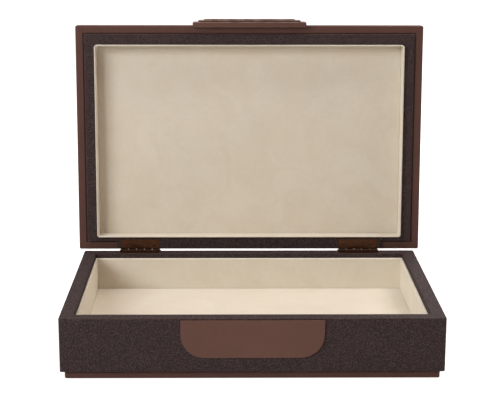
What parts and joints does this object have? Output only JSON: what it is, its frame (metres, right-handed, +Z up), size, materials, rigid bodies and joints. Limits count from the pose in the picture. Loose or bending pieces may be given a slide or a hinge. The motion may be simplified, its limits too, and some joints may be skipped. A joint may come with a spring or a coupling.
{
  "type": "hinged keepsake box",
  "caption": "Rectangular hinged box for papers and keepsakes, wrapped in grained leatherette, with a lined tray and lid, a stepped pull on the lid's edge and a plaque on the front.",
  "frame": {"origin": "middle of the plinth's underside, on the surface that the box stands on", "axes": "+X along the box's width to the right, +Y from the front to the hinged back, +Z up"},
  "size_m": [0.331, 0.2447, 0.2757],
  "materials": {
    "shagreen": "pebbled leatherette, dark brown-grey",
    "brown": "satin brown lacquer",
    "suede": "cream suede-like cloth",
    "board": "plain fibreboard",
    "felt": "dark felt",
    "brass": "polished"
  },
  "bodies": {
    "tray": {"plinth": "brown", "base_felt": "felt", "base_board": "board", "base_skin": "shagreen", "lining_floor": "suede", "front_plaque": "brown", "wall_front": "board", "lining_front": "suede", "wall_back": "board", "lining_back": "suede", "wall_left": "board", "lining_left": "suede", "wall_right": "board", "lining_right": "suede", "hinge_left_base_leaf": "brass", "hinge_left_pin": "brass", "hinge_left_base_screw_1": "brass", "hinge_left_base_screw_2": "brass", "hinge_left_base_screw_3": "brass", "hinge_right_base_leaf": "brass", "hinge_right_pin": "brass", "hinge_right_base_screw_1": "brass", "hinge_right_base_screw_2": "brass", "hinge_right_base_screw_3": "brass"},
    "lid": {"lid_top_panel": "shagreen", "lid_lining_panel": "suede", "pull_back": "brown", "pull_middle": "brown", "pull_cap": "brown", "ring_front": "shagreen", "ring_left": "shagreen", "ring_right": "shagreen", "ring_rear": "shagreen", "lid_frame_front": "brown", "lip_front": "suede", "lid_frame_back": "brown", "lip_back": "suede", "lid_frame_left": "brown", "lip_left": "suede", "lid_frame_right": "brown", "lip_right": "suede", "hinge_left_lid_leaf": "brass", "hinge_left_lid_screw_1": "brass", "hinge_left_lid_screw_2": "brass", "hinge_left_lid_screw_3": "brass", "hinge_right_lid_leaf": "brass", "hinge_right_lid_screw_1": "brass", "hinge_right_lid_screw_2": "brass", "hinge_right_lid_screw_3": "brass"}
  },
  "joints": [
    {"name": "lid_hinge", "type": "hinge", "parent": "tray", "child": "lid", "pos_m": [0, 0.1064, 0.0528], "axis": [1, 0, 0], "range_deg": [0, 93.5]}
  ]
}
